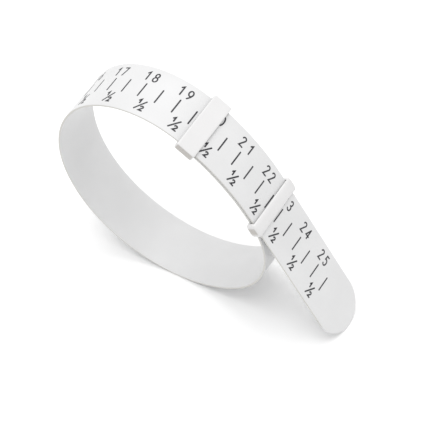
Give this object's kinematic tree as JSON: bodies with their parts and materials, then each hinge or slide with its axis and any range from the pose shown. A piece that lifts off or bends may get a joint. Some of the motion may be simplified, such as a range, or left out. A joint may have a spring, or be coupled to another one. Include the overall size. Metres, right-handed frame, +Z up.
{
  "type": "adjustable wrist sizer",
  "caption": "Flexible plastic wrist sizer: a strap with a printed centimetre scale curled into a ring, its tail sliding through two fixed loops.",
  "frame": {"origin": "centre of the bounding box at the height of the surface it stands on", "axes": "+Z up, +Y along the strap's width and the ring's axis, +X from the ring towards the tail's tip"},
  "size_m": [0.0833, 0.0184, 0.0641],
  "materials": {
    "strap_plastic": "satin white, slightly translucent",
    "loop_plastic": "satin white moulded"
  },
  "bodies": {
    "base": {"base_strip": "strap_plastic", "end_loop": "loop_plastic", "keeper_loop": "loop_plastic"},
    "link_01": {"strap_link_01": "strap_plastic"},
    "link_02": {"strap_link_02": "strap_plastic"},
    "link_03": {"strap_link_03": "strap_plastic"},
    "link_04": {"strap_link_04": "strap_plastic"},
    "link_05": {"strap_link_05": "strap_plastic"},
    "link_06": {"strap_link_06": "strap_plastic"},
    "link_07": {"strap_link_07": "strap_plastic"},
    "link_08": {"strap_link_08": "strap_plastic"},
    "link_09": {"strap_link_09": "strap_plastic"},
    "link_10": {"strap_link_10": "strap_plastic"},
    "link_11": {"strap_link_11": "strap_plastic"},
    "link_12": {"strap_link_12": "strap_plastic"},
    "link_13": {"strap_link_13": "strap_plastic"},
    "link_14": {"strap_link_14": "strap_plastic"},
    "link_15": {"strap_link_15": "strap_plastic"},
    "link_16": {"strap_link_16": "strap_plastic"},
    "link_17": {"strap_link_17": "strap_plastic"},
    "link_18": {"strap_link_18": "strap_plastic"},
    "link_19": {"strap_link_19": "strap_plastic"},
    "link_20": {"strap_link_20": "strap_plastic"},
    "link_21": {"strap_link_21": "strap_plastic"},
    "link_22": {"strap_link_22": "strap_plastic"},
    "tip": {"strap_tip": "strap_plastic"}
  },
  "joints": [
    {"name": "bend_01", "type": "hinge", "parent": "link_01", "child": "base", "pos_m": [0.02109, 0, 0.03156], "axis": [0, 1, 0], "range_deg": [-0.82, 1]},
    {"name": "bend_02", "type": "hinge", "parent": "link_02", "child": "link_01", "pos_m": [0.02079, 0, 0.02017], "axis": [0, 1, 0], "range_deg": [-1.23, 1.53]},
    {"name": "bend_03", "type": "hinge", "parent": "link_03", "child": "link_02", "pos_m": [0.01536, 0, 0.01015], "axis": [0, 1, 0], "range_deg": [-0.87, 1.06]},
    {"name": "bend_04", "type": "hinge", "parent": "link_04", "child": "link_03", "pos_m": [0.00609, 0, 0.00347], "axis": [0, 1, 0], "range_deg": [-1.34, 1.08]},
    {"name": "size_adjust", "type": "hinge", "parent": "link_05", "child": "link_04", "pos_m": [-0.00494, 0, 0.00045], "axis": [0, 1, 0], "range_deg": [-3.19, 2.39]},
    {"name": "bend_06", "type": "hinge", "parent": "link_06", "child": "link_05", "pos_m": [-0.01635, 0, 0.00135], "axis": [0, 1, 0], "range_deg": [-4.58, 3.51]},
    {"name": "bend_07", "type": "hinge", "parent": "link_06", "child": "link_07", "pos_m": [-0.02678, 0, 0.00607], "axis": [0, -1, 0], "range_deg": [-3.79, 2.92]},
    {"name": "bend_08", "type": "hinge", "parent": "link_07", "child": "link_08", "pos_m": [-0.03497, 0, 0.01405], "axis": [0, -1, 0], "range_deg": [-1.61, 1.28]},
    {"name": "bend_09", "type": "hinge", "parent": "link_08", "child": "link_09", "pos_m": [-0.03998, 0, 0.02434], "axis": [0, -1, 0], "range_deg": [-0.87, 1.06]},
    {"name": "bend_10", "type": "hinge", "parent": "link_09", "child": "link_10", "pos_m": [-0.04119, 0, 0.03572], "axis": [0, -1, 0], "range_deg": [-1.39, 1.76]},
    {"name": "bend_11", "type": "hinge", "parent": "link_10", "child": "link_11", "pos_m": [-0.03847, 0, 0.04684], "axis": [0, -1, 0], "range_deg": [-0.76, 0.92]},
    {"name": "bend_12", "type": "hinge", "parent": "link_11", "child": "link_12", "pos_m": [-0.03209, 0, 0.05633], "axis": [0, -1, 0], "range_deg": [-1.47, 1.18]},
    {"name": "bend_13", "type": "hinge", "parent": "link_12", "child": "link_13", "pos_m": [-0.02563, 0, 0.06098], "axis": [0, -1, 0], "range_deg": [-3.11, 2.41]},
    {"name": "bend_14", "type": "hinge", "parent": "link_13", "child": "link_14", "pos_m": [-0.01805, 0, 0.06345], "axis": [0, -1, 0], "range_deg": [-4, 3.07]},
    {"name": "bend_15", "type": "hinge", "parent": "link_14", "child": "link_15", "pos_m": [-0.01008, 0, 0.06349], "axis": [0, -1, 0], "range_deg": [-1.65, 1.31]},
    {"name": "bend_16", "type": "hinge", "parent": "link_15", "child": "link_16", "pos_m": [-0.00248, 0, 0.0611], "axis": [0, -1, 0], "range_deg": [-3.42, 4.47]},
    {"name": "bend_17", "type": "hinge", "parent": "link_16", "child": "link_17", "pos_m": [0.00426, 0, 0.05681], "axis": [0, -1, 0], "range_deg": [-1.01, 1.25]},
    {"name": "bend_18", "type": "hinge", "parent": "link_17", "child": "link_18", "pos_m": [0.01026, 0, 0.05152], "axis": [0, -1, 0], "range_deg": [-1.32, 1.06]},
    {"name": "bend_19", "type": "hinge", "parent": "link_18", "child": "link_19", "pos_m": [0.01538, 0, 0.04539], "axis": [0, -1, 0], "range_deg": [-1.18, 1.47]},
    {"name": "bend_20", "type": "hinge", "parent": "link_19", "child": "link_20", "pos_m": [0.01956, 0, 0.03857], "axis": [0, -1, 0], "range_deg": [-4.77, 6.26]},
    {"name": "bend_21", "type": "hinge", "parent": "link_20", "child": "link_21", "pos_m": [0.02352, 0, 0.03162], "axis": [0, -1, 0], "range_deg": [-4.88, 6.41]},
    {"name": "bend_22", "type": "hinge", "parent": "link_21", "child": "link_22", "pos_m": [0.02747, 0, 0.02466], "axis": [0, -1, 0], "range_deg": [-4.72, 6.2]},
    {"name": "bend_23", "type": "hinge", "parent": "link_22", "child": "tip", "pos_m": [0.03142, 0, 0.01771], "axis": [0, -1, 0], "range_deg": [-4.65, 6.1]}
  ],
  "couplings": [
    {"joint": "bend_01", "follows": "size_adjust", "ratio": -0.2181},
    {"joint": "bend_02", "follows": "size_adjust", "ratio": -0.3871},
    {"joint": "bend_03", "follows": "size_adjust", "ratio": -0.2396},
    {"joint": "bend_04", "follows": "size_adjust", "ratio": 0.3251},
    {"joint": "bend_06", "follows": "size_adjust", "ratio": 1.3432},
    {"joint": "bend_07", "follows": "size_adjust", "ratio": 1.0943},
    {"joint": "bend_08", "follows": "size_adjust", "ratio": 0.4095},
    {"joint": "bend_09", "follows": "size_adjust", "ratio": -0.2368},
    {"joint": "bend_10", "follows": "size_adjust", "ratio": -0.4577},
    {"joint": "bend_11", "follows": "size_adjust", "ratio": -0.1944},
    {"joint": "bend_12", "follows": "size_adjust", "ratio": 0.367},
    {"joint": "bend_13", "follows": "size_adjust", "ratio": 0.8822},
    {"joint": "bend_14", "follows": "size_adjust", "ratio": 1.1589},
    {"joint": "bend_15", "follows": "size_adjust", "ratio": 0.4219},
    {"joint": "bend_16", "follows": "size_adjust", "ratio": -1.3068},
    {"joint": "bend_17", "follows": "size_adjust", "ratio": -0.2991},
    {"joint": "bend_18", "follows": "size_adjust", "ratio": 0.3193},
    {"joint": "bend_19", "follows": "size_adjust", "ratio": -0.3667},
    {"joint": "bend_20", "follows": "size_adjust", "ratio": -1.8695},
    {"joint": "bend_21", "follows": "size_adjust", "ratio": -1.9163},
    {"joint": "bend_22", "follows": "size_adjust", "ratio": -1.851},
    {"joint": "bend_23", "follows": "size_adjust", "ratio": -1.8187}
  ]
}
